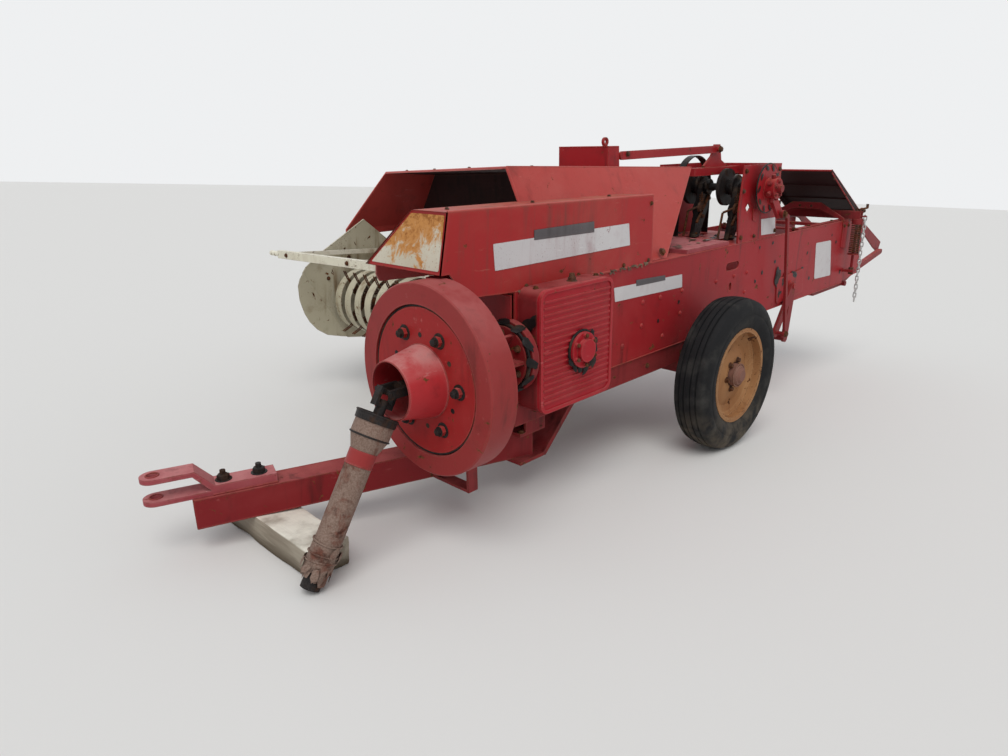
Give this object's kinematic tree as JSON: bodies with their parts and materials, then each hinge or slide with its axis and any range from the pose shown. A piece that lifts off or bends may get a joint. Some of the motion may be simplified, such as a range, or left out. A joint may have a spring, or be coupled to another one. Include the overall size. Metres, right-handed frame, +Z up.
{
  "type": "square baler",
  "caption": "Trailed square hay baler with side pickup, feeder hood, long bale chamber, twin knotters, flywheel, swinging tongue and two wheels.",
  "frame": {"origin": "middle of the machine at ground level", "axes": "+X to the machine's left, towards its flywheel side, +Y to the rear along the bale chamber, +Z up"},
  "size_m": [2.4657, 4.9284, 1.3797],
  "materials": {
    "red_paint": "faded and scuffed",
    "cream_paint": "chalky with rust",
    "dark_red_paint": "dusty",
    "bare_steel": "worn",
    "greasy_iron": "greasy",
    "brown_steel": "weathered",
    "rusty_steel": "rusty",
    "galvanised": "dull",
    "rusty_yellow_paint": "rusty",
    "tyre": "weathered",
    "timber": "weathered grey"
  },
  "bodies": {
    "baler": {"bale_case": "red_paint", "main_frame": "red_paint", "axle_beam": "red_paint", "gear_case": "red_paint", "gear_cover": "red_paint", "bearing_cap": "red_paint", "input_housing": "red_paint", "input_shaft": "bare_steel", "drive_hood": "red_paint", "feeder_hood": "red_paint", "feeder_deck": "red_paint", "feeder_box": "red_paint", "lever_bar": "red_paint", "lever_stand": "red_paint", "knotter_stand": "red_paint", "knotter_rail": "red_paint", "knotters": "greasy_iron", "hay_guides": "red_paint", "tension_rails_top": "red_paint", "tension_rails_bottom": "red_paint", "tail_plates": "red_paint", "tension_beams": "red_paint", "tension_springs": "rusty_steel", "chamber_arch": "red_paint", "chain": "galvanised", "twine_box": "red_paint", "chute_brackets": "red_paint", "timber_block": "timber"},
    "wheel_left": {"tyre_left": "tyre", "rim_left": "rusty_yellow_paint", "hub_left": "red_paint"},
    "wheel_right": {"tyre_right": "tyre", "rim_right": "rusty_yellow_paint", "hub_right": "red_paint"},
    "flywheel": {"flywheel_rim": "red_paint", "clutch_plate": "red_paint", "safety_bell": "red_paint"},
    "driveline": {"driveline_guard": "brown_steel", "driveline_yoke": "brown_steel"},
    "tongue": {"tongue_beam": "red_paint", "hitch_clevis": "red_paint"},
    "pickup": {"pickup_frame": "cream_paint", "stripper_bands": "cream_paint"},
    "reel": {"tined_reel": "bare_steel"},
    "windguard": {"windguard": "cream_paint"},
    "needles": {"needle_yoke": "red_paint"},
    "knotter_drive": {"knotter_crank": "red_paint", "knotter_shaft": "bare_steel"},
    "lift_rod": {"lift_rod": "red_paint"},
    "chute": {"bale_chute": "dark_red_paint"}
  },
  "joints": [
    {"name": "wheel_left_spin", "type": "hinge", "parent": "baler", "child": "wheel_left", "pos_m": [1.135, -0.14707, 0.35], "axis": [1, 0, 0], "continuous": true},
    {"name": "wheel_right_spin", "type": "hinge", "parent": "baler", "child": "wheel_right", "pos_m": [-1.135, -0.14707, 0.35], "axis": [1, 0, 0], "continuous": true},
    {"name": "flywheel_spin", "type": "hinge", "parent": "baler", "child": "flywheel", "pos_m": [0.935, -1.77411, 0.56307], "axis": [0, 0.9981, 0.061], "continuous": true},
    {"name": "tongue_swing", "type": "hinge", "parent": "baler", "child": "tongue", "pos_m": [0.834, -1.22411, 0.15388], "axis": [0, -0.061, 0.9981], "range_deg": [0, 18.8]},
    {"name": "driveline_lift", "type": "hinge", "parent": "baler", "child": "driveline", "pos_m": [0.935, -1.90986, 0.55477], "axis": [-1, 0, 0], "range_deg": [0, 56.4]},
    {"name": "pickup_lift", "type": "hinge", "parent": "baler", "child": "pickup", "pos_m": [0.95, -0.40884, 0.42015], "axis": [1, 0, 0], "range_deg": [0, 15]},
    {"name": "reel_spin", "type": "hinge", "parent": "pickup", "child": "reel", "pos_m": [0.95, -0.82479, 0.50492], "axis": [1, 0, 0], "continuous": true},
    {"name": "windguard_drop", "type": "hinge", "parent": "pickup", "child": "windguard", "pos_m": [0.95, -0.56021, 0.76555], "axis": [1, 0, 0], "range_deg": [0, 8]},
    {"name": "needle_lift", "type": "hinge", "parent": "baler", "child": "needles", "pos_m": [0.95, 0.86996, 0.64263], "axis": [-1, 0, 0], "range_deg": [0, 50]},
    {"name": "knotter_crank_turn", "type": "hinge", "parent": "baler", "child": "knotter_drive", "pos_m": [0.95, 0.36284, 1.16966], "axis": [1, 0, 0], "range_deg": [0, 80]},
    {"name": "lift_rod_swing", "type": "hinge", "parent": "knotter_drive", "child": "lift_rod", "pos_m": [0.95, 0.49966, 1.04578], "axis": [-1, 0, 0], "range_deg": [0, 92.2]},
    {"name": "chute_fold", "type": "hinge", "parent": "baler", "child": "chute", "pos_m": [0.95, 1.84728, 1.04405], "axis": [-1, 0, 0], "range_deg": [0, 155]}
  ],
  "couplings": [
    {"joint": "driveline_lift", "follows": "tongue_swing", "ratio": 3},
    {"joint": "knotter_crank_turn", "follows": "needle_lift", "ratio": 1.6},
    {"joint": "lift_rod_swing", "follows": "needle_lift", "ratio": 1.844}
  ]
}
